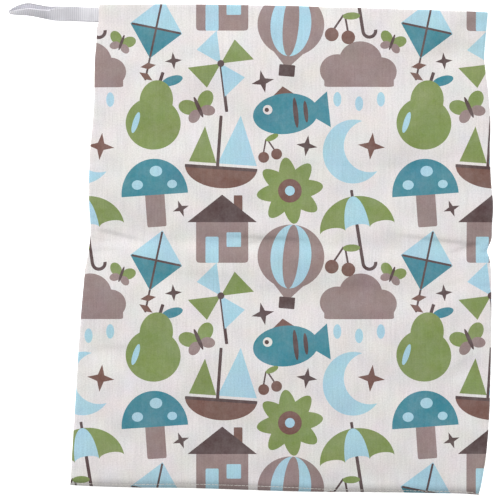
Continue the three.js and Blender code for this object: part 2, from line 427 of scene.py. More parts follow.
# Each second column is dropped by half a row, and small motifs fill the gaps.
PLACES = (
    Place(Motif.BALLOON, 0, 0, -5),
    Place(Motif.FLOWER, 0, 1, 8, 1.15),
    Place(Motif.FISH, 0, 2, 6),
    Place(Motif.UMBRELLA, 1, 0.5, 9),
    Place(Motif.MOON, 1, 1.5, -6),
    Place(Motif.CLOUD, 1, 2.5),
    Place(Motif.KITE, 2, 0, -12, 1.1),
    Place(Motif.TOADSTOOL, 2, 1, 4, 1.15),
    Place(Motif.PEAR, 2, 2, -8),
    Place(Motif.HOUSE, 3, 0.5),
    Place(Motif.BOAT, 3, 1.5, -4),
    Place(Motif.PINWHEEL, 3, 2.5, 7, 1.15),
    Place(Motif.BUTTERFLY, 2.65, 2.08, 24, 1.1),
    Place(Motif.CHERRIES, 0.77, 0.11, -10),
    Place(Motif.STAR, 3.6, 2.41, 12),
    Place(Motif.STAR, 0.25, 1.58, -8, 1.1),
    Place(Motif.CHERRIES, 3.69, 1.54, 14, 0.95),
    Place(Motif.BUTTERFLY, 1.51, 2.92, -20, 0.8),
    Place(Motif.STAR, 2.39, 0.77, 20, 0.9),
    Place(Motif.STAR, 2.28, 2.68, 5, 0.9),
)


def linear(hex_colour: str) -> tuple[float, float, float, float]:
    """Turns an sRGB hex colour into the linear colour that a shader takes.

    Args:
        hex_colour: A colour such as "#dbd7d6".

    Returns:
        Red, green, blue and alpha.
    """
    parts = [int(hex_colour[at : at + 2], 16) / 255 for at in (1, 3, 5)]
    red, green, blue = (p / 12.92 if p <= 0.04045 else ((p + 0.055) / 1.055) ** 2.4 for p in parts)
    return red, green, blue, 1.0


def add_node(tree: bpy.types.NodeTree, kind: str, inputs: dict | None = None, **settings) -> bpy.types.Node:
    """Adds a node with its settings and links.

    Args:
        tree: The material's or world's node tree.
        kind: The node's type, without its leading "ShaderNode".
        inputs: By the name or number of an input, its own value or what feeds it: an output, or a node whose
            first output in use is meant.
        settings: The node's options.

    Returns:
        The new node.
    """
    node = tree.nodes.new(f"ShaderNode{kind}")
    for name, value in settings.items():
        setattr(node, name, value)
    for socket, value in (inputs or {}).items():
        if isinstance(value, bpy.types.Node):
            value = next(output for output in value.outputs if output.enabled)
        if isinstance(value, bpy.types.NodeSocket):
            tree.links.new(value, node.inputs[socket])
        else:
            node.inputs[socket].default_value = value
    return node


def new_material(name: str) -> tuple[bpy.types.Material, NodeMaker]:
    """Makes a material without nodes.

    Args:
        name: The real material's name.

    Returns:
        The material, and what adds a node to it.
    """
    material = bpy.data.materials.new(name)
    material.use_nodes = True
    material.node_tree.nodes.clear()
    return material, partial(add_node, material.node_tree)


def smooth_column(table: Sequence, key: str, column: str, at: np.ndarray) -> np.ndarray:
    """Reads a column of a table as a smooth curve through its rows.

    Args:
        table: Rows in the order of their key.
        key: The field that places a row along the curve.
        column: The field to read.
        at: Where to read it.

    Returns:
        The column's value at each place.
    """
    keys = np.array([getattr(row, key) for row in table], float)
    values = np.array([getattr(row, column) for row in table], float)
    before = np.maximum(np.arange(len(keys)) - 1, 0)
    after = np.minimum(np.arange(len(keys)) + 1, len(keys) - 1)
    slopes = (values[after] - values[before]) / (keys[after] - keys[before])
    low = np.clip(np.searchsorted(keys, at) - 1, 0, len(keys) - 2)
    span = keys[low + 1] - keys[low]
    t = np.clip((at - keys[low]) / span, 0, 1)
    ease = t * t * (3 - 2 * t)
    pull = t * (1 - t) * span * (slopes[low] * (1 - t) - slopes[low + 1] * t)
    return values[low] + (values[low + 1] - values[low]) * ease + pull


def smooth_step(at: np.ndarray, low: float, high: float) -> np.ndarray:
    """Rises smoothly from 0 at low to 1 at high."""
    t = np.clip((at - low) / (high - low), 0, 1)
    return t * t * (3 - 2 * t)


def bell(distance: np.ndarray, width: float) -> np.ndarray:
    """Falls smoothly from 1 at no distance to nearly 0 at twice the width."""
    return np.exp(-((distance / width) ** 2))


def unit(ways: np.ndarray) -> np.ndarray:
    """Brings directions to a length of 1."""
    return ways / np.linalg.norm(ways, axis=-1, keepdims=True)


def swell(distance: np.ndarray, reach: float) -> np.ndarray:
    """Rise of cloth from a sewn edge, steep beside it and level at the full reach."""
    return 1 - (1 - np.clip(distance / reach, 0, 1)) ** 3


def folds_at(folds: Sequence[Fold], x: np.ndarray, y: np.ndarray, lee: float = 1.0) -> np.ndarray:
    """Adds up what each fold does at a place.

    Args:
        folds: The creases, dents or ridges.
        x: Places across the bag.
        y: Places along it.
        lee: How many times as wide a fold is on its foot side.

    Returns:
        The sum of the folds' sizes there.
    """
    total = np.zeros_like(x)
    for fold in folds:
        turn = math.radians(fold.turn)
        dx, dy = x - fold.x, y - fold.y
        lengthwise = (dx * math.cos(turn) + dy * math.sin(turn)) / fold.half_length
        crosswise = (dy * math.cos(turn) - dx * math.sin(turn)) / fold.half_width
        crosswise = np.where(crosswise < 0, crosswise / lee, crosswise)
        total += fold.size * np.exp(-(lengthwise**4) - crosswise**2)
    return total


def unplace(x: float, y: float, turn: float, wide: float, high: float) -> np.ndarray:
    """Finds the matrix that brings a placed shape back upright to the origin, at a size of 1.

    Args:
        x: The shape's place across.
        y: Its place up.
        turn: Its turn in degrees.
        wide: Its size across.
        high: Its size up.

    Returns:
        A matrix for places with 1 as their third part.
    """
    cos, sin = math.cos(math.radians(turn)), math.sin(math.radians(turn))
    across = np.array([cos, sin, -x * cos - y * sin]) / wide
    up = np.array([-sin, cos, x * sin - y * cos]) / high
    return np.stack([across, up, [0, 0, 1]])


def add_object(name: str, data: bpy.types.ID) -> bpy.types.Object:
    """Puts an object with a mesh, a lamp or a camera in the scene.

    Args:
        name: The object's name.
        data: Its mesh, lamp or camera.

    Returns:
        The object.
    """
    added = bpy.data.objects.new(name, data)
    bpy.context.scene.collection.objects.link(added)
    return added


def mesh_object(
    name: str,
    points: np.ndarray,
    faces: Sequence,
    cloth: np.ndarray | None = None,
    from_foot: np.ndarray | None = None,
) -> bpy.types.Object:
    """Makes a smooth mesh piece of the bag.

    Args:
        name: The piece's name.
        points: Its corners, in metres.
        faces: Lists of corner numbers, seen from outside in counterclockwise order.
        cloth: The corners' places on the flat cloth, in metres, for the piece's UV map.
        from_foot: The corners' cloth runs from the foot seam, in metres.

    Returns:
        The piece.
    """
    mesh = bpy.data.meshes.new(name)
    mesh.from_pydata(points.tolist(), [], faces)
    mesh.polygons.foreach_set("use_smooth", np.ones(len(mesh.polygons), bool))
    if cloth is not None:
        corners = np.empty(len(mesh.loops), np.int32)
        mesh.loops.foreach_get("vertex_index", corners)
        uv_map = mesh.uv_layers.new(name=CLOTH_MAP).uv
        uv_map.foreach_set("vector", cloth[corners].astype(np.float32).ravel())
    if from_foot is not None:
        runs = mesh.attributes.new(FOOT_RUN, "FLOAT", "POINT").data
        runs.foreach_set("value", from_foot.astype(np.float32))
    mesh.update()
    log.info("%s: %d faces", name, len(mesh.polygons))
    return add_object(name, mesh)


def sharpen(piece: bpy.types.Object, degrees: float) -> None:
    """Marks the piece's edges that turn by more than an angle as sharp."""
    bpy.ops.object.select_all(action="DESELECT")
    piece.select_set(True)
    bpy.context.view_layer.objects.active = piece
    bpy.ops.object.shade_smooth_by_angle(angle=math.radians(degrees))
    piece.select_set(False)


@dataclass(frozen=True)
class PrintedCloth:
    """Polyester knit, printed on its outer face and laminated behind.

    The eye sees a matt, off-white cloth with fine ribs along the bag and flat patches of soft ink. Shade is
    painted along the foot edge, where the cloth rolls down away from the light.
    """

    name: str = "printed_laminated_polyester"
    start: tuple[float, float] = (33.0, -15.0)  # where the repeat starts on the cloth
    column_pitch: float = 56.0
    row_pitch: float = 64.0
    columns: int = 4
    rows: int = 3
    corner: float = 0.25  # rounding of a block's corners, as a share of its half size
    past_any_reach: float = -1000.0  # takes what is below a halved shape's straight side out of the shape
    rib_spacing: float = 1.4  # of the knit; the ribs are drawn about twice as coarse as they are, to show
    rib_run: float = 26.0  # how far a rib keeps its tone
    rib_spread: tuple[float, float] = (0.25, 0.75)  # levels of its noise that the tone is drawn from
    rib_change: float = 0.12  # how far the tone changes with the ribs
    grain_size: float = 1.1  # of the unevenness of its yarns
    grain_spread: tuple[float, float] = (0.3, 0.7)
    grain_change: float = 0.14
    bare_size: float = 25.0  # of the largest places where the ink is thin
    bare_roughness: float = 0.85  # how much of that is in its smallest places
    bare_spread: tuple[float, float] = (0.34, 0.66)
    bare: float = 0.09  # most of the ground that shows through the ink
    mottle_size: float = 20.0  # of the slow changes in how much ink the cloth took
    mottle: tuple[float, float, float] = (0.15, 0.13, 0.16)  # how far those changes go, by colour
    painted_foot_shade: float = 0.34  # how much shade is painted on the cloth along the foot, where it rolls down away from the light
    # cloth run from the foot seam over which that painted shade fades out
    painted_foot_band: float = 11.0
    relief: float = 0.4  # of its ribs and yarns
    relief_strength: float = 0.16
    roughness: float = 0.68
    gloss: float = 0.3
    sheen: float = 0.12

    def _stamp(
        self,
        node: NodeMaker,
        here: bpy.types.Node,
        under: bpy.types.Node | tuple,
        motif_frame: np.ndarray,
        stamp: Stamp,
    ) -> bpy.types.Node:
        """Prints one patch of ink.

        Args:
            node: Adds a node to the material.
            here: The place in the repeat, in millimetres, with 1 as its third part.
            under: The colours printed so far.
            motif_frame: The matrix from such a place to the motif's own millimetres.
            stamp: The patch.

        Returns:
            The colours with the patch on top.
        """
        high = stamp.high if stamp.shape.halved else stamp.high / 2
        rows = (unplace(stamp.x, stamp.y, stamp.turn, stamp.wide / 2, high) @ motif_frame)[:2]
        x, y = (node("VectorMath", {0: here, 1: tuple(row)}, operation="DOT_PRODUCT") for row in rows)
        if stamp.shape.halved:
            below = node("Math", {0: y, 1: self.past_any_reach}, operation="MULTIPLY")
            y = node("Math", {0: y, 1: below}, operation="MAXIMUM")
        if stamp.shape in (OVAL, DOME):
            squared = node("Math", {0: x, 1: x}, operation="MULTIPLY")
            far = node("Math", {0: y, 1: y, 2: squared}, operation="MULTIPLY_ADD")
        else:
            x, y = (node("Math", {0: way}, operation="ABSOLUTE") for way in (x, y))
            total = "SMOOTH_MAX" if stamp.shape is BLOCK else "ADD"
            far = node("Math", {0: x, 1: y, 2: self.corner}, operation=total)
        inside = node("Math", {0: far, 1: 1.0}, operation="LESS_THAN")
        return node("Mix", {"Factor": inside, 6: under, 7: linear(stamp.ink.value)}, data_type="RGBA")

    def _print(self, node: NodeMaker, millimetres: bpy.types.Node) -> bpy.types.Node:
        """Prints every motif of the repeat.

        Args:
            node: Adds a node to the material.
            millimetres: The place on the cloth, with 1 as its third part.

        Returns:
            The printed colours.
        """
        half_width = self.columns * self.column_pitch / 2
        half_height = self.rows * self.row_pitch / 2
        colours = linear(GROUND.value)
        for place in PLACES:
            x = self.start[0] + place.column * self.column_pitch
            y = self.start[1] + place.row * self.row_pitch
            # The third part, 1, is between these ends and stays as it is.
            high = (x + half_width, y + half_height, 2)
            low = (x - half_width, y - half_height, 0)
            here = node("VectorMath", {0: millimetres, 1: high, 2: low}, operation="WRAP")
            motif_frame = unplace(x, y, place.turn, place.size, place.size)
            for stamp in place.motif.value:
                colours = self._stamp(node, here, colours, motif_frame, stamp)
        return colours

    def _tones(self, node: NodeMaker, noises: Sequence[bpy.types.Node]) -> list[bpy.types.Node]:
        """Finds what the ribs and the yarns do to the tone.

        Args:
            node: Adds a node to the material.
            noises: The ribs and the yarns.

        Returns:
            The tones, about 1.
        """
        spreads = (self.rib_spread, self.grain_spread)
        changes = (self.rib_change, self.grain_change)
        return [
            node("MapRange", {"Value": noise, 1: low, 2: high, 3: 1 - change / 2, 4: 1 + change / 2})
            for noise, (low, high), change in zip(noises, spreads, changes)
        ]

    def material(self) -> bpy.types.Material:
        """Makes the cloth's material.

        Returns:
            The material, which reads the cloth's UV map.
        """
        material, node = new_material(self.name)
        cloth = node("UVMap", uv_map=CLOTH_MAP)
        to_millimetres = {0: cloth, 1: (1 / MM, 1 / MM, 0), 2: (0, 0, 1)}
        millimetres = node("VectorMath", to_millimetres, operation="MULTIPLY_ADD")
        printed = self._print(node, millimetres)

        # Where the ink is thin the ground shows through, and how much ink the cloth took changes slowly.
        thin = node(
            "TexNoise",
            {
                "Vector": millimetres,
                "Scale": 1 / self.bare_size,
                "Detail": 4.0,
                "Roughness": self.bare_roughness,
            },
        )
        low, high = self.bare_spread
        bare = node("MapRange", {"Value": thin, 1: low, 2: high, 4: self.bare})
        worn = node("Mix", {"Factor": bare, 6: printed, 7: linear(GROUND.value)}, data_type="RGBA")
        mottle = node("TexNoise", {"Vector": millimetres, "Scale": 1 / self.mottle_size, "Detail": 3.0})
        middle = tuple(1 - spread / 2 for spread in self.mottle)
        tinted = {0: mottle.outputs["Color"], 1: self.mottle, 2: middle}
        tint = node("VectorMath", tinted, operation="MULTIPLY_ADD")

        rib_scale = (1 / self.rib_spacing, 1 / self.rib_run, 0)
        rib_place = node("VectorMath", {0: millimetres, 1: rib_scale}, operation="MULTIPLY")
        ribs = node("TexNoise", {"Vector": rib_place, "Scale": 1.0, "Detail": 2.0})
        yarns = node("TexNoise", {"Vector": millimetres, "Scale": 1 / self.grain_size, "Detail": 1.0})
        # Shade is painted along the foot, darkest at the seam, where the cloth rolls down away from the
        # light.
        from_foot = node("Attribute", attribute_name=FOOT_RUN).outputs["Fac"]
        painted_foot_shading = node(
            "MapRange",
            {"Value": from_foot, 2: self.painted_foot_band * MM, 3: 1 - self.painted_foot_shade, 4: 1.0},
            interpolation_type="SMOOTHSTEP",
        )
        for tone in (tint, painted_foot_shading, *self._tones(node, (ribs, yarns))):
            worn = node("Mix", {"Factor": 1.0, 6: worn, 7: tone}, data_type="RGBA", blend_type="MULTIPLY")
        height = node("Math", {0: ribs, 1: yarns}, operation="ADD")
        bump = node(
            "Bump", {"Strength": self.relief_strength, "Distance": self.relief * MM, "Height": height}
        )
        shader = node(
            "BsdfPrincipled",
            {
                "Base Color": worn,
                "Normal": bump,
                "Roughness": self.roughness,
                "Specular IOR Level": self.gloss,
                "Sheen Weight": self.sheen,
            },
        )
        node("OutputMaterial", {"Surface": shader})
        return material


@dataclass(frozen=True)
class WaterproofFilm:
    """Polyurethane film laminated to the back of the cloth: white, smooth and slightly shiny."""

    name: str = "white_polyurethane_film"
    colour: str = "#dcdad6"
    roughness: tuple[float, float] = (0.28, 0.42)  # of its shiniest and dullest places
    grain: float = 1.4
    relief: float = 0.3
    relief_strength: float = 0.15

    def material(self) -> bpy.types.Material:
        """Makes the film's material.

        Returns:
            The material, which reads the cloth's UV map.
        """
        material, node = new_material(self.name)
        cloth = node("UVMap", uv_map=CLOTH_MAP)
        grain = node("TexNoise", {"Vector": cloth, "Scale": 1 / (self.grain * MM), "Detail": 2.0})
        shiny, dull = self.roughness
        shine = node("MapRange", {"Value": grain, 3: shiny, 4: dull})
        bump = node(
            "Bump", {"Strength": self.relief_strength, "Distance": self.relief * MM, "Height": grain}
        )
        shader = node(
            "BsdfPrincipled", {"Base Color": linear(self.colour), "Roughness": shine, "Normal": bump}
        )
        node("OutputMaterial", {"Surface": shader})
        return material


@dataclass(frozen=True)
class PaintedLightStep:
    """A length of ribbon over which its painted light and shade change, and the tone before and after."""

    start: float
    end: float
    before: float
    after: float


@dataclass(frozen=True)
class RibbonWebbing:
    """Grosgrain ribbon of spun polyester.

    It is soft grey, with painted shade in the valleys between its ribs, painted shade along its edges and a
    faint sheen. Light and shade are painted on its outer face: it is darkest on the layer below, on the layer
    above it is paler beside the bag than where it stands up at the tip, and it is darker at the foot's side
    than at the mouth's. The inside of the fold is painted pale, as light.
    """

    name: str = "grey_grosgrain_polyester"
    colour: str = "#d8d7dc"
    # the valleys between the ribs are painted this darker grey, as shade
    painted_valley_shade: str = "#c3c2c8"
    rib_pitch: float = 1.6
    fibre: float = 0.35
    fibre_share: float = 0.6  # of the fibres in the tone, beside the ribs
    valley_to_crown: tuple[float, float] = (-0.8, 1.2)  # levels of the two together
    relief: float = 0.2  # of the fibres
    relief_strength: float = 0.25
    half_width: float = 6.0  # past it, round the ribbon, the inner face of the fold begins
    # painted light on the inside of the fold
    inner_painted_light: float = 1.12
    painted_side_shading: tuple[float, float] = (0.9, 1.1)  # painted shade and light across the outer face, darker at the foot's side and paler at the mouth's
    tones: tuple[PaintedLightStep, ...] = (
        PaintedLightStep(76, 88, 0.6, 0.8),
        PaintedLightStep(112, 122, 1, 1.45),
        PaintedLightStep(126, 135, 1, 0.81),
        PaintedLightStep(139, 146, 1, 1.17),
    )  # painted light and shade of the outer face, along it from the end of the layer below
    painted_edge_shade_start: float = 4.9  # from the middle of a face, where the painted shade along its edge begins
    # tone of the painted shade at the very edge
    painted_edge_shade: float = 0.62
    standing: tuple[float, float] = (76.0, 118.0)  # lengths where it stands up at the tip, over which no shade is painted along its edges
    glow: float = 0.9  # how much of the light goes through the weave
    glow_reach: float = 2.0
    roughness: float = 0.72
    sheen: float = 0.05

    def _tone(
        self, node: NodeMaker, around: bpy.types.NodeSocket, along: bpy.types.NodeSocket
    ) -> bpy.types.Node:
        """Finds the light and shade painted on the ribbon.

        Args:
            node: Adds a node to the material.
            around: The place round the ribbon, in metres from the middle of its outer face.
            along: The place along it, in metres.

        Returns:
            The tone, about 1.
        """
        reach = self.half_width * MM
        low, high = self.painted_side_shading
        # Light and shade are painted across the outer face and along it, as it turns from and to the light.
        outer = node("MapRange", {"Value": around, 1: -reach, 2: reach, 3: low, 4: high})
        for step in self.tones:
            ends = {1: step.start * MM, 2: step.end * MM, 3: step.before, 4: step.after}
            tone = node("MapRange", {"Value": along, **ends}, interpolation_type="SMOOTHSTEP")
            outer = node("Math", {0: outer, 1: tone}, operation="MULTIPLY")
        # The inside of the fold is painted pale, as light.
        inside = node("Math", {0: around, 1: reach}, operation="GREATER_THAN")
        face = node("Mix", {0: inside, 2: outer, 3: self.inner_painted_light})

        # Shade is painted along the edges, except where the ribbon stands up at the tip.
        from_middle = node("Math", {0: around, 1: reach}, operation="PINGPONG")
        start, end = (length * MM for length in self.standing)
        stands = node("Math", {0: along, 1: (start + end) / 2, 2: (end - start) / 2}, operation="COMPARE")
        darkest = node("Mix", {0: stands, 2: self.painted_edge_shade, 3: 1.0})
        edge = node("MapRange", {"Value": from_middle, 1: self.painted_edge_shade_start * MM, 2: reach, 3: 1.0, 4: darkest})
        return node("Math", {0: face, 1: edge}, operation="MULTIPLY")

    def material(self) -> bpy.types.Material:
        """Makes the ribbon's material.

        Returns:
            The material, which reads the ribbon's UV map: round it and along it.
        """
        material, node = new_material(self.name)
        cloth = node("UVMap", uv_map=CLOTH_MAP)
        around, along, _ = node("SeparateXYZ", {0: cloth}).outputs
        turns = node("Math", {0: along, 1: 2 * math.pi / (self.rib_pitch * MM)}, operation="MULTIPLY")
        ribs = node("Math", {0: turns}, operation="COSINE")
        fibres = node("TexNoise", {"Vector": cloth, "Scale": 1 / (self.fibre * MM), "Detail": 2.0})
        both = node("Math", {0: fibres, 1: self.fibre_share, 2: ribs}, operation="MULTIPLY_ADD")
        valley, crown = self.valley_to_crown
        height = node("MapRange", {"Value": both, 1: valley, 2: crown})
        # The valleys between the ribs are painted darker, as shade; the ribs themselves are also modelled.
        colours = {6: linear(self.painted_valley_shade), 7: linear(self.colour)}
        colour = node("Mix", {"Factor": height, **colours}, data_type="RGBA")
        # The painted light and shade are multiplied into the colour.
        tone = self._tone(node, around, along)
        colour_with_painted_light = node("Mix", {"Factor": 1.0, 6: colour, 7: tone}, data_type="RGBA", blend_type="MULTIPLY")
        bump = node(
            "Bump", {"Strength": self.relief_strength, "Distance": self.relief * MM, "Height": fibres}
        )
        shader = node(
            "BsdfPrincipled",
            {
                "Base Color": colour_with_painted_light,
                "Normal": bump,
                "Roughness": self.roughness,
                "Sheen Weight": self.sheen,
                "Subsurface Weight": self.glow,
                "Subsurface Radius": (1, 1, 1),
                "Subsurface Scale": self.glow_reach * MM,
            },
        )
        node("OutputMaterial", {"Surface": shader})
        return material


@dataclass(frozen=True)
class SewingThread:
    """Twisted polyester thread: off-white, with a fine slanting twist whose grooves are painted in shade."""

    name: str = "off_white_polyester_thread"
    colour: str = "#dedad4"
    # painted shade in the grooves of the twist
    shade: str = "#b8b3ad"
    twist: float = 0.99  # from one ply to the next
    slant: float = 35.0
    wander: float = 0.4
    roughness: float = 0.55

    def material(self) -> bpy.types.Material:
        """Makes the thread's material.

        Returns:
            The material, which reads Object coordinates.
        """
        material, node = new_material(self.name)
        place = node("TexCoord").outputs["Object"]
        slanted = node("Mapping", {"Vector": place, "Rotation": (0, 0, math.radians(self.slant))})
        # At a scale of 1 the wave texture has ten waves in pi metres.
        scale = math.pi / (10 * self.twist * MM)
        wave = node("TexWave", {"Vector": slanted, "Scale": scale, "Distortion": self.wander})
        # The grooves of the twist are painted darker, as shade.
        colours = {6: linear(self.shade), 7: linear(self.colour)}
        colour = node("Mix", {"Factor": wave.outputs["Fac"], **colours}, data_type="RGBA")
        shader = node("BsdfPrincipled", {"Base Color": colour, "Roughness": self.roughness})
        node("OutputMaterial", {"Surface": shader})
        return material


@dataclass(frozen=True)
class Lay:
    """Cloth laid on the bag: where it lies, which way is out of the bag, and its place on the flat cloth."""

    points: np.ndarray
    outward: np.ndarray
    cloth: np.ndarray


@dataclass(frozen=True)
class Roll:
    """A quarter turn of cloth from an edge's outermost line to its top, as a quarter of an ellipse."""

    inset: float
    rise: float

    @property
    def arc(self) -> tuple[np.ndarray, np.ndarray]:
        """Angles on the ellipse from the outermost line to the top, and the cloth run to each."""
        angles = np.linspace(0, math.pi / 2, ROLL_POINTS)
        steps = np.hypot(np.diff(self.inset * np.cos(angles)), np.diff(self.rise * np.sin(angles)))
        return angles, np.concatenate([[0], np.cumsum(steps)])

    @property
    def cloth(self) -> float:
        """Cloth in the quarter turn."""
        return float(self.arc[1][-1])

    def angle(self, run: np.ndarray) -> np.ndarray:
        """Angle on the ellipse at a cloth run from the outermost line."""
        angles, runs = self.arc
        return np.interp(run, runs, angles)

    def run(self, inward: np.ndarray) -> np.ndarray:
        """Cloth run to a distance in from the outermost line."""
        angles, runs = self.arc
        return np.interp(inward, self.inset * (1 - np.cos(angles)), runs)

    def lean(self, angle: np.ndarray) -> np.ndarray:
        """Slope of the way out of the cloth at an angle on the ellipse, from level at 0 to straight up."""
        return np.arctan2(self.inset * np.sin(angle), self.rise * np.cos(angle))


@dataclass
class BagForm:
    """The empty bag's outline, its rolled seams, its fullness and its folds."""

    edge_radius: float = 2.9  # roll of the turned seams
    foot_roll: Roll = Roll(8.0, 2.9)  # of the front, which slopes down to the foot
    rolled_band: float = 10.0  # cloth beside a seam that takes up its roll and the slot
    fullness: float = 7.2  # rise of the front's middle above its edges
    mouth_share: float = 0.72  # share of that rise which is left at the mouth
    mouth_reach: float = 110.0  # how far below the mouth the front starts to flatten
    half_width_run: float = 168.0  # cloth from a side seam to the middle
    length_run: float = 400.0  # cloth from the foot seam to the mouth
    slot_opening: float = 3.1  # of the left seam, which the loop comes out of
    slot_foot_up: float = 182.0  # where the slot begins
    slot_full_up: float = 188.0  # where it is fully open
    seam_depth: float = 0.25  # how far the thread pulls the seams in
    seam_width: float = 0.9
    stitch_depth: float = 0.3  # how far the topstitching pulls the front in
    pucker_height: float = 0.2  # ripples that the seams draw into the cloth beside them
    pucker_length: float = 13.0
    pucker_reach: float = 9.0
    taut: tuple[float, float] = (3.0, 16.0)  # cloth runs from a seam between which folds and slack set in
    offset: np.ndarray = field(default_factory=lambda: np.zeros(3))

    @property
    def full_width(self) -> float:
        """Cloth from one side seam to the other."""
        return 2 * self.half_width_run

    @property
    def quarter_roll(self) -> float:
        """Cloth in a quarter turn of a rolled seam."""
        return self.edge_radius * math.pi / 2

    def settle(self, corners: tuple[Vector, Vector]) -> None:
        """Moves the form to where the solid model's panel is.

        Args:
            corners: The panel's lowest and highest corners, in metres.
        """
        runs = np.linspace(0, self.length_run, SIDE_POINTS)
        sides = (np.full_like(runs, at) for at in (0.0, self.full_width))
        edge = np.concatenate([self.lay(Face.FRONT, side, runs).points for side in sides])
        middle = (edge.min(0) + edge.max(0)) / 2
        box_middle = np.array((corners[0] + corners[1]) / 2) / MM
        self.offset = np.array([box_middle[0] - middle[0], box_middle[1] - middle[1], 0])

    def _pucker(self, along: np.ndarray, run: np.ndarray) -> np.ndarray:
        """Height of the ripples beside a seam, along it and at a cloth run from it."""
        beat = 2 * math.pi * along / self.pucker_length
        # The beat wanders and carries a smaller wave, so that no ripple is like the next.
        wave = np.sin(beat + 1.3 * np.sin(0.37 * beat)) + 0.5 * np.sin(2.3 * beat + 0.8)
        fading = np.exp(-run / self.pucker_reach) * smooth_step(run, 0, self.taut[0])
        return self.pucker_height * wave * fading

    def topstitch_run(self, across: np.ndarray) -> np.ndarray:
        """Cloth run from the foot seam to the topstitching, at shares of the way across."""
        return self.foot_roll.run(smooth_column(END_EDGES, "across", "topstitch", across))

    def _slack(self, x: np.ndarray, y: np.ndarray) -> np.ndarray:
        """Height of the slack cloth's broad waves."""
        total = np.zeros_like(x)
        for ripple in RIPPLES:
            turn = math.radians(ripple.turn)
            run = x * math.cos(turn) + y * math.sin(turn)
            total += ripple.height * np.sin(2 * math.pi * run / ripple.length + math.radians(ripple.phase))
        return total

    def lay(self, face: Face, from_left: np.ndarray, foot_run: np.ndarray) -> Lay:
        """Lays a panel's outer surface on the bag.

        Args:
            face: The panel's face.
            from_left: Cloth run from the left seam.
            foot_run: Cloth run from the foot seam.

        Returns:
            The cloth, in millimetres.
        """
        radius, quarter = self.edge_radius, self.quarter_roll
        across = from_left / self.full_width
        side = np.where(across <= 0.5, -1.0, 1.0)
        nominal = np.minimum(from_left, self.full_width - from_left)
        foot = smooth_column(END_EDGES, "across", "foot", across)
        mouth = smooth_column(END_EDGES, "across", "mouth", across)
        roll = self.foot_roll if face is Face.FRONT else Roll(radius, radius)
        foot_angle = roll.angle(foot_run)
        foot_beyond = np.maximum(0, foot_run - roll.cloth)
        length_stretch = (mouth - foot - roll.inset) / (self.length_run - roll.cloth)
        y = foot + roll.inset * (1 - np.cos(foot_angle)) + foot_beyond * length_stretch

        slot = smooth_step(y, self.slot_foot_up, self.slot_full_up) * self.slot_opening
        rim = np.where(side < 0, slot, 0)
        width_run = nominal + rim * np.clip(1 - nominal / self.rolled_band, 0, 1)
        side_angle = np.clip(width_run / radius, 0, math.pi / 2)
        side_beyond = np.maximum(0, width_run - quarter)
        left = smooth_column(SIDE_EDGES, "up", "left", y)
        right = smooth_column(SIDE_EDGES, "up", "right", y)
        width_stretch = ((right - left) / 2 - radius) / (self.half_width_run - quarter)
        inset = radius * (1 - np.cos(side_angle)) + side_beyond * width_stretch
        x = np.where(side < 0, left + inset, right - inset)

        side_drop = radius * (1 - np.sin(side_angle))
        foot_drop = radius * (1 - np.sin(foot_angle))
        drop = side_drop + foot_drop - side_drop * foot_drop / radius
        if face is Face.FRONT:
            sewn = swell(width_run - rim, self.half_width_run) * swell(foot_run, self.length_run / 2)
            mouth_loss = (1 - self.mouth_share) * (1 - swell(mouth - y, self.mouth_reach))
            left_over = np.maximum(0, 1 - folds_at(FOLDS, x, y))
            free = smooth_step(width_run, *self.taut) * smooth_step(foot_run, *self.taut)
            fine = free * (folds_at(WRINKLES, x, y, LEE) + self._slack(x, y))
            z = 2 * radius - drop + self.fullness * sewn * (1 - mouth_loss) * left_over + fine
        else:
            z = drop
        lean = roll.lean(foot_angle)
        upward = np.sin(side_angle) * np.sin(lean)
        outward = unit(np.stack([side * np.cos(side_angle), -np.cos(lean), face.value * upward], -1))
        points = np.stack([x, y, z], -1)

        # The thread pulls the seams in, and the cloth beside them ripples. The loop's slot has no seam.
        closed = 1 - np.clip(rim / self.slot_opening, 0, 1)
        seams = closed * bell(width_run, self.seam_width) + bell(foot_run, self.seam_width)
        pulled = self.seam_depth * seams
        if face is Face.FRONT:
            stitched = foot_run - self.topstitch_run(across)
            pulled += self.stitch_depth * bell(stitched, self.seam_width)
            pulled -= self._pucker(y, width_run) + self._pucker(x, foot_run)
        points -= outward * pulled[..., None]

        side_cloth = radius + np.where(width_run > quarter, side_beyond * width_stretch, width_run - quarter)
        u = np.where(side < 0, left + side_cloth, right - side_cloth)
        past_roll = np.where(foot_run > roll.cloth, foot_beyond * length_stretch, foot_run - roll.cloth)
        at_seam = foot + self.foot_roll.inset - self.foot_roll.cloth
        v = foot + roll.inset + past_roll if face is Face.FRONT else at_seam - foot_run
        return Lay(points + self.offset, outward, np.stack([u, v], -1))


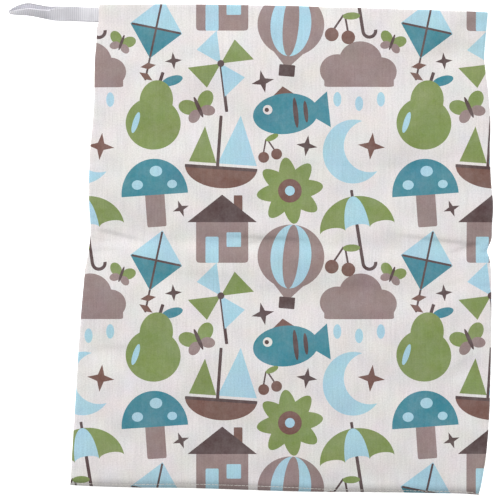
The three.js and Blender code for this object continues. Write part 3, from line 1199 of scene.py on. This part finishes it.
@dataclass
class ClothPanel:
    """One face of the bag: cloth with its film, and the cloth turned in along the mouth."""

    name: str
    face: Face
    slot: str
    form: BagForm
    flat: tuple[float, float] = (0.345, 0.42)  # as cut, in metres, with what is turned in
    cell: float = 2.2  # of its mesh
    seam_cell: float = 0.7  # beside its seams
    crease_band: tuple[float, float] = (155.0, 235.0)  # cloth runs between which the rows are twice as close
    wall: float = 0.6  # cloth with its film
    hem: float = 14.0  # cloth turned in along the mouth
    lip_steps: int = 4

    def _runs(self) -> tuple[np.ndarray, np.ndarray]:
        """Spaces the grid, closest along the seams.

        Returns:
            Cloth runs from the left seam and from the foot seam.
        """
        band = self.form.rolled_band
        fine = np.linspace(0, band, round(band / self.seam_cell), endpoint=False)
        width = self.form.full_width
        middle = np.linspace(band, width - band, round((width - 2 * band) / self.cell) + 1)
        top = self.form.length_run - self.wall
        hem_start = top - self.hem
        low, high = self.crease_band
        spans = ((band, low, self.cell), (low, high, self.cell / 2), (high, hem_start - self.wall, self.cell))
        below = [np.linspace(a, b, round((b - a) / cell), endpoint=False) for a, b, cell in spans]
        turned = np.linspace(hem_start, top, round(self.hem / self.cell) + 1)
        rows = np.concatenate([fine, *below, [hem_start - self.wall], turned])
        return np.concatenate([fine, middle, (width - fine)[::-1]]), rows

    def build(self) -> bpy.types.Object:
        """Builds the panel: out over its face, round the lip of the mouth and back down inside.

        Returns:
            The panel, with its cloth in the first material slot and its film in the second.
        """
        columns, rows = self._runs()
        across, along = np.meshgrid(columns, rows)
        lay = self.form.lay(self.face, across, along)
        hem_start = rows[-1] - self.hem
        thick = np.interp(rows, [hem_start - self.wall, hem_start], [self.wall, 2 * self.wall])
        inner = lay.points - lay.outward * thick[:, None, None]

        # The lip is a half turn of the doubled cloth.
        ahead = unit(lay.points[-1] - lay.points[-2])
        turns = np.pi * np.arange(1, self.lip_steps + 1) / (self.lip_steps + 1)
        lip_middle = (lay.points[-1] + inner[-1]) / 2
        lip = lip_middle + self.wall * (
            np.cos(turns)[:, None, None] * lay.outward[-1] + np.sin(turns)[:, None, None] * ahead
        )
        points = np.concatenate([lay.points, lip, inner[::-1]])
        past_mouth = np.concatenate([turns * self.wall, np.pi * self.wall + (rows[-1] - rows)[::-1]])
        forward = 1 if self.face is Face.FRONT else -1
        beyond = np.repeat(lay.cloth[-1:], len(past_mouth), axis=0)
        beyond[..., 1] += forward * past_mouth[:, None]
        cloth = np.concatenate([lay.cloth, beyond])

        high, wide = points.shape[:2]
        grid = np.arange(high * wide).reshape(high, wide)
        around = np.concatenate([grid, grid[:1]])
        row, next_row = around[:-1], around[1:]
        faces = np.stack([row[:, :-1], row[:, 1:], next_row[:, 1:], next_row[:, :-1]], -1).reshape(-1, 4)
        printed_rows = len(rows) + self.lip_steps + round(self.hem / self.cell)
        film = np.repeat(np.arange(high) >= printed_rows, wide - 1)
        ends = self._end_faces(grid, len(rows))
        faces = faces.tolist() + ends
        if self.face is Face.BACK:
            faces = [corners[::-1] for corners in faces]
        from_foot = np.concatenate([along, np.full_like(beyond[..., 0], self.form.length_run)]).ravel()
        piece = mesh_object(
            self.name, points.reshape(-1, 3) * MM, faces, cloth.reshape(-1, 2) * MM, from_foot * MM
        )
        slots = np.concatenate([film, np.zeros(len(ends), bool)]).astype(np.int32)
        piece.data.polygons.foreach_set("material_index", slots)
        sharpen(piece, degrees=50)
        return piece

    def _end_faces(self, grid: np.ndarray, rows: int) -> list[list[int]]:
        """Closes the panel's cut edges along both side seams.

        Args:
            grid: Corner numbers, by row around the panel and by column.
            rows: How many rows the outer face has.

        Returns:
            The faces, each a list of corner numbers.
        """
        faces = []
        high = len(grid)
        for column, step in ((0, 1), (-1, -1)):
            edge = grid[:, column]
            for row in range(rows - 1):
                faces.append([edge[row], edge[row + 1], edge[high - 2 - row], edge[high - 1 - row]][::step])
            faces.append(edge[rows - 1 : high - rows + 1].tolist()[::step])
        return [[int(corner) for corner in corners] for corners in faces]

    def dress(self, piece: bpy.types.Object, cloth: bpy.types.Material, film: bpy.types.Material) -> None:
        """Gives the panel its cloth and film and its place in the frame.

        Args:
            piece: The panel.
            cloth: The printed cloth.
            film: The waterproof film.
        """
        piece.data.materials.append(cloth)
        piece.data.materials.append(film)
        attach(piece, BODY)
        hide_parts(self.name.removesuffix("_cloth"))


@dataclass
class Topstitching:
    """The row of stitches along the foot of the front panel."""

    form: BagForm
    name: str = "foot_topstitching"
    stitch: float = 3.0
    gap: float = 0.1
    thread: float = 0.5
    margin: float = 4.0  # cloth from the side seams to the first and last stitch
    dive: float = 0.35  # how far a stitch's ends go down into the cloth, as a share of the thread's radius
    probe: float = 0.5  # cloth over which the way along it and up it is found

    def _model_stitch(self) -> tuple[np.ndarray, list[list[int]]]:
        """Models one stitch along +X: a length of thread with rounded ends that dive into the cloth.

        Returns:
            Its corners, in millimetres, and its faces.
        """
        radius = self.thread / 2
        reach = self.stitch / 2 - radius
        bpy.ops.object.select_all(action="DESELECT")
        bpy.ops.mesh.primitive_uv_sphere_add(
            segments=8, ring_count=6, radius=radius, rotation=(0, math.pi / 2, 0)
        )
        bpy.ops.object.transform_apply(location=True, rotation=True, scale=True)
        model = bpy.context.object
        for end in (-1, 1):
            bpy.ops.object.mode_set(mode="EDIT")
            bpy.ops.mesh.select_all(action="DESELECT")
            bpy.ops.object.mode_set(mode="OBJECT")
            for corner in model.data.vertices:
                # The ring at its middle stays.
                corner.select = end * corner.co.x > 0.1 * radius
            bpy.ops.object.mode_set(mode="EDIT")
            bpy.ops.transform.translate(value=(end * reach, 0, -self.dive * radius))
            bpy.ops.object.mode_set(mode="OBJECT")
        corners = np.array([corner.co for corner in model.data.vertices])
        faces = [list(face.vertices) for face in model.data.polygons]
        bpy.data.objects.remove(model)
        return corners, faces

    def build(self) -> bpy.types.Object:
        """Sews the row: one copy of the stitch after another along the seam.

        Returns:
            All the stitches, as one piece.
        """
        width = self.form.full_width
        starts = np.arange(self.margin, width - self.margin - self.stitch, self.stitch + self.gap)
        middles = starts + self.stitch / 2
        runs = self.form.topstitch_run(middles / width)
        lay = self.form.lay(Face.FRONT, middles, runs)
        ahead = unit(self.form.lay(Face.FRONT, middles + self.probe, runs).points - lay.points)
        up_cloth = self.form.lay(Face.FRONT, middles, runs + self.probe).points - lay.points
        normal = unit(np.cross(ahead, up_cloth))
        aside = np.cross(normal, ahead)

        corners, faces = self._model_stitch()
        axes = np.stack([ahead, aside, normal], 1)
        points = np.einsum("cv,svw->scw", corners, axes) + lay.points[:, None]
        count = len(corners)
        copies = [[corner + count * at for corner in face] for at in range(len(starts)) for face in faces]
        return mesh_object(self.name, points.reshape(-1, 3) * MM, copies)

    def dress(self, piece: bpy.types.Object, thread: bpy.types.Material, panel: ClothPanel) -> None:
        """Gives the stitches their thread and their place in the frame.

        Args:
            piece: The stitches.
            thread: The thread.
            panel: The panel that they are sewn through. It is not used.
        """
        piece.data.materials.append(thread)
        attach(piece, BODY)


@dataclass
class HangLoop:
    """The folded ribbon: along its layer below, round the tip and back along its layer above."""

    form: BagForm
    finish: RibbonWebbing
    name: str = "hang_loop_ribbon"
    wide: float = 12.0
    thick: float = 1.0
    tail: float = 8.0  # length of each end inside the seam
    centre_up: float = 195.3  # where it leaves the seam
    step: float = 0.32  # between its sections
    turn_steps: int = 10  # round its tip
    rib_height: float = 0.1
    dip: float = 0.5  # where the seam's stitching presses the layer above down, beside the bag
    dip_out: float = 4.5
    dip_width: float = 1.3
    ribs_end: tuple[float, float] = (0.86, 0.8)  # shares of its half width where ribs end, and are still full
    flat: tuple[float, float] = (0.012, 0.165)  # in metres

    # Across the ribbon from its middle to an edge, as shares of its half width, and its thickness there. The
    # edges are woven as plain, rounded selvedges.
    section: tuple[tuple[float, float], ...] = (
        (0.0, 0.9),
        (0.4, 0.9),
        (0.78, 0.9),
        (0.86, 0.96),
        (0.94, 0.96),
        (0.985, 0.7),
        (1.0, 0.3),
    )

    def _centreline(self) -> tuple[np.ndarray, np.ndarray, np.ndarray, np.ndarray]:
        """Follows the ribbon from one sewn end to the other.

        Returns:
            The middle of each section, the way across it, the way out of its face, and the length so far.
        """
        tip = LOOP_STATIONS[-1].out
        outs = np.linspace(-self.tail, tip, round((tip + self.tail) / self.step) + 1)
        turns = np.linspace(-90, 90, self.turn_steps + 1)[1:-1]
        out = np.concatenate([outs, np.full(len(turns), tip), outs[::-1]])
        turn = np.radians(np.concatenate([np.full(len(outs), -90), turns, np.full(len(outs), 90)]))
        columns = ("drift", "off", "roll", "part")
        read = {name: smooth_column(LOOP_STATIONS, "out", name, out) for name in columns}
        roll = np.radians(read["roll"])
        none = np.zeros_like(roll)
        widthwise = np.stack([none, np.cos(roll), np.sin(roll)], -1)
        layerwise = np.stack([none, -np.sin(roll), np.cos(roll)], -1)
        outward = layerwise * np.sin(turn)[:, None]
        outward[:, 0] = -np.cos(turn)
        height = read["off"] + widthwise[:, 2] * self.wide / 2
        height += layerwise[:, 2] * (read["part"] + self.thick / 2)
        height -= self.dip * (turn > 0) * bell(out - self.dip_out, self.dip_width)
        seam = smooth_column(SIDE_EDGES, "up", "left", np.array([self.centre_up]))[0]
        middle = np.stack([seam - out, self.centre_up + read["drift"], height], -1)
        middle += outward * read["part"][:, None] + self.form.offset
        steps = np.linalg.norm(np.diff(middle, axis=0), axis=1)
        return middle, widthwise, outward, np.concatenate([[0], np.cumsum(steps)])

    def build(self) -> bpy.types.Object:
        """Weaves the ribbon along its centreline, with its ribs.

        Returns:
            The ribbon, closed at both ends.
        """
        middle, widthwise, outward, length = self._centreline()
        half = np.array(self.section)
        across = np.concatenate([-half[:0:-1, 0], half[:, 0]]) * self.wide / 2
        half_thick = np.concatenate([half[:0:-1, 1], half[:, 1]]) * self.thick / 2
        ribbed = smooth_step(np.abs(across), *(share * self.wide / 2 for share in self.ribs_end))
        wave = np.cos(2 * math.pi * length / self.finish.rib_pitch)
        lift = half_thick + self.rib_height * ribbed * (wave[:, None] - 1) / 2
        flat = middle[:, None] + widthwise[:, None] * across[:, None]
        above = flat + outward[:, None] * lift[..., None]
        below = flat - outward[:, None] * lift[..., None]
        ring = np.concatenate([above, below[:, ::-1]], 1)
        place = np.concatenate([across, self.wide - across[::-1]])
        cloth = np.stack(np.broadcast_arrays(place[None], length[:, None]), -1)

        count, around = ring.shape[:2]
        grid = np.arange(count * around).reshape(count, around)
        turned = np.roll(grid, -1, axis=1)
        faces = np.stack([grid[:-1], turned[:-1], turned[1:], grid[1:]], -1).reshape(-1, 4).tolist()
        faces += [grid[0, ::-1].tolist(), grid[-1].tolist()]
        piece = mesh_object(self.name, ring.reshape(-1, 3) * MM, faces, cloth.reshape(-1, 2) * MM)
        sharpen(piece, degrees=60)
        return piece

    def dress(self, piece: bpy.types.Object) -> None:
        """Gives the ribbon its finish and its place in the frame."""
        piece.data.materials.append(self.finish.material())
        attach(piece, BODY)
        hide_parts("hang_loop")


@dataclass
class Studio:
    """A white table lit from below, soft light from above and a camera over the bag. Sizes are in metres."""

    form: BagForm
    table: float = 6.0  # across it
    table_colour: str = "#f7f7f7"
    table_grain: float = 1.1  # in millimetres
    table_roughness: tuple[float, float] = (0.6, 0.75)
    table_gloss: float = 0.2
    drop: float = 0.0004  # of the table's top below the bag
    frame_width: float = 0.415  # what the picture takes in at the height of the seams
    camera_height: float = 2.4
    sensor: float = 36.0  # in millimetres
    table_glow: float = 0.7
    sky_strength: float = 0.6
    key_power: float = 124.0  # in watts
    key_size: float = 2.5
    key_place: tuple[float, float, float] = (-0.5, 2.9, 2.5)

    def build(self) -> None:
        """Sets the table, the light and the camera."""
        self._lay_table()
        self._light()
        self._aim()

    def _lay_table(self) -> None:
        """Lays the table's top just under the bag."""
        bpy.ops.object.select_all(action="DESELECT")
        bpy.ops.mesh.primitive_plane_add(size=self.table, location=(0, 0, -self.drop))
        bpy.ops.object.transform_apply(location=True, rotation=True, scale=True)
        table = bpy.context.object
        table.name = "table_top"
        material, node = new_material("white_acrylic_light_table")
        place = node("TexCoord").outputs["Object"]
        grain = node("TexNoise", {"Vector": place, "Scale": 1 / (self.table_grain * MM)})
        low, high = self.table_roughness
        shader = node(
            "BsdfPrincipled",
            {
                "Base Color": linear(self.table_colour),
                "Roughness": node("MapRange", {"Value": grain, 3: low, 4: high}),
                "Specular IOR Level": self.table_gloss,
                "Emission Color": (1, 1, 1, 1),
                "Emission Strength": self.table_glow,
            },
        )
        node("OutputMaterial", {"Surface": shader})
        table.data.materials.append(material)

    def _light(self) -> None:
        """Lights the bag with an even white sky and one wide lamp from beyond its mouth."""
        world = bpy.data.worlds.new("white_studio")
        world.use_nodes = True
        world.node_tree.nodes.clear()
        sky = add_node(world.node_tree, "Background", {"Color": (1, 1, 1, 1), "Strength": self.sky_strength})
        add_node(world.node_tree, "OutputWorld", {"Surface": sky})
        bpy.context.scene.world = world
        lamp = bpy.data.lights.new("key_lamp", "AREA")
        lamp.size = self.key_size
        lamp.energy = self.key_power
        key = add_object("key_lamp", lamp)
        key.location = self.key_place
        key.rotation_euler = (-Vector(self.key_place)).to_track_quat("-Z", "Y").to_euler()

    def _aim(self) -> None:
        """Hangs the camera above the bag, with the mouth at the top of the picture."""
        lens = bpy.data.cameras.new("camera")
        lens.sensor_width = self.sensor
        seam_height = self.form.edge_radius * MM
        lens.lens = self.sensor * (self.camera_height - seam_height) / self.frame_width
        camera = add_object("camera", lens)
        camera.location = (self.form.offset[0] * MM, self.form.offset[1] * MM, self.camera_height)
        bpy.context.scene.camera = camera
        bpy.context.scene.view_settings.view_transform = "Standard"


def main() -> None:
    """Builds the bag and the studio around it."""
    logging.basicConfig(level=logging.INFO, format="%(message)s")
    form = BagForm()
    form.settle(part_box("front_panel"))
    Studio(form).build()

    cloth = PrintedCloth().material()
    film = WaterproofFilm().material()
    front = ClothPanel("front_panel_cloth", Face.FRONT, "printed_cloth", form)
    back = ClothPanel("back_panel_cloth", Face.BACK, "printed_cloth_back", form, cell=4.0)
    for panel in (front, back):
        panel.dress(panel.build(), cloth, film)

    topstitching = Topstitching(form)
    topstitching.dress(topstitching.build(), SewingThread().material(), front)
    loop = HangLoop(form, RibbonWebbing())
    loop.dress(loop.build())


if __name__ == "__main__":
    main()
